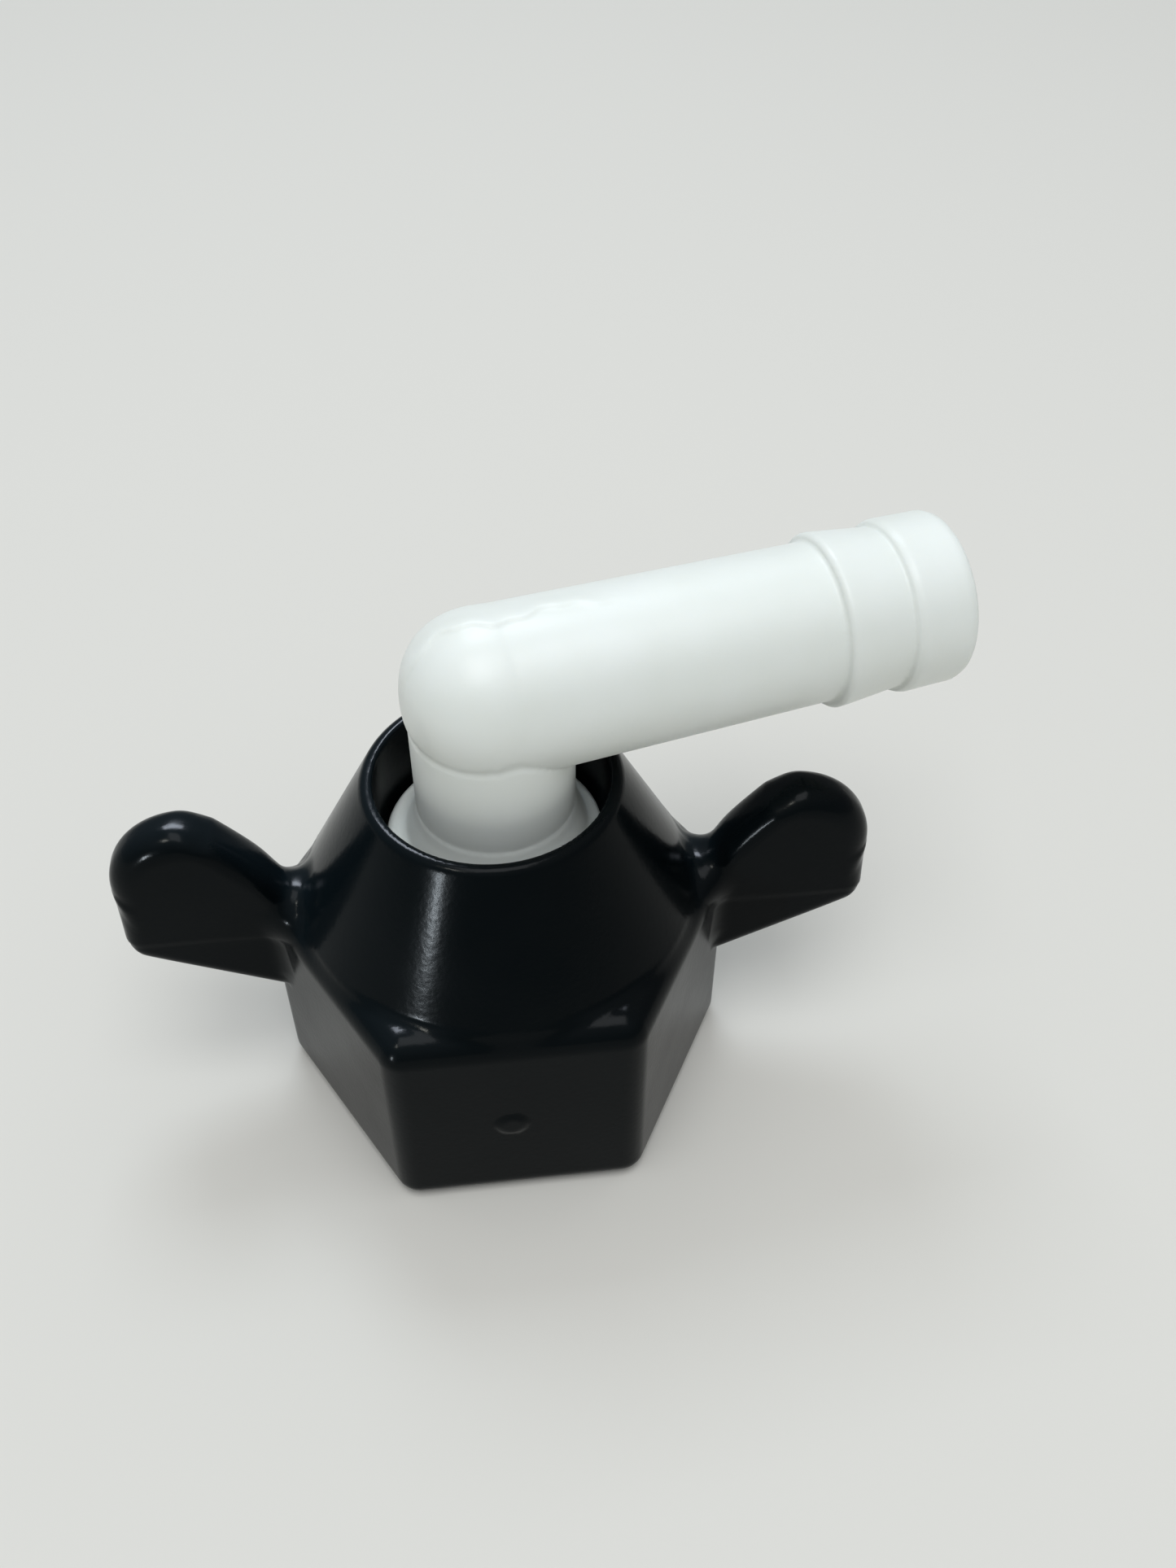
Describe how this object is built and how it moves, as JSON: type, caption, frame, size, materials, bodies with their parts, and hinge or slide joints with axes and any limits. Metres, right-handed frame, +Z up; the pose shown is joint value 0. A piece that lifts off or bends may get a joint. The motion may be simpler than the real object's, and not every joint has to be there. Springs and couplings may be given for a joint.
{
  "type": "swivel hose elbow",
  "caption": "Right-angle hose barb elbow held in a winged union nut that spins on its stem, for joining a hose to a threaded pump or tank port.",
  "frame": {"origin": "on the swivel axis in the plane of the nut's lower face", "axes": "+Z up the elbow's stem, +X along the hose tail"},
  "size_m": [0.0562, 0.0304, 0.04],
  "materials": {
    "black_plastic": "semi-gloss moulded",
    "white_plastic": "satin moulded",
    "ring_plastic": "natural",
    "seal_rubber": "matt"
  },
  "bodies": {
    "elbow": {"barbed_elbow": "white_plastic", "cone_seal": "seal_rubber"},
    "ring": {"retaining_ring": "ring_plastic"},
    "nut": {"wing_nut": "black_plastic"}
  },
  "joints": [
    {"name": "nut_swivel", "type": "hinge", "parent": "elbow", "child": "ring", "pos_m": [0, 0, 0.0132], "axis": [0, 0, 1], "continuous": true},
    {"name": "nut_float", "type": "slide", "parent": "ring", "child": "nut", "axis": [0, 0, 1], "range_m": [-0.0008, 0]}
  ]
}
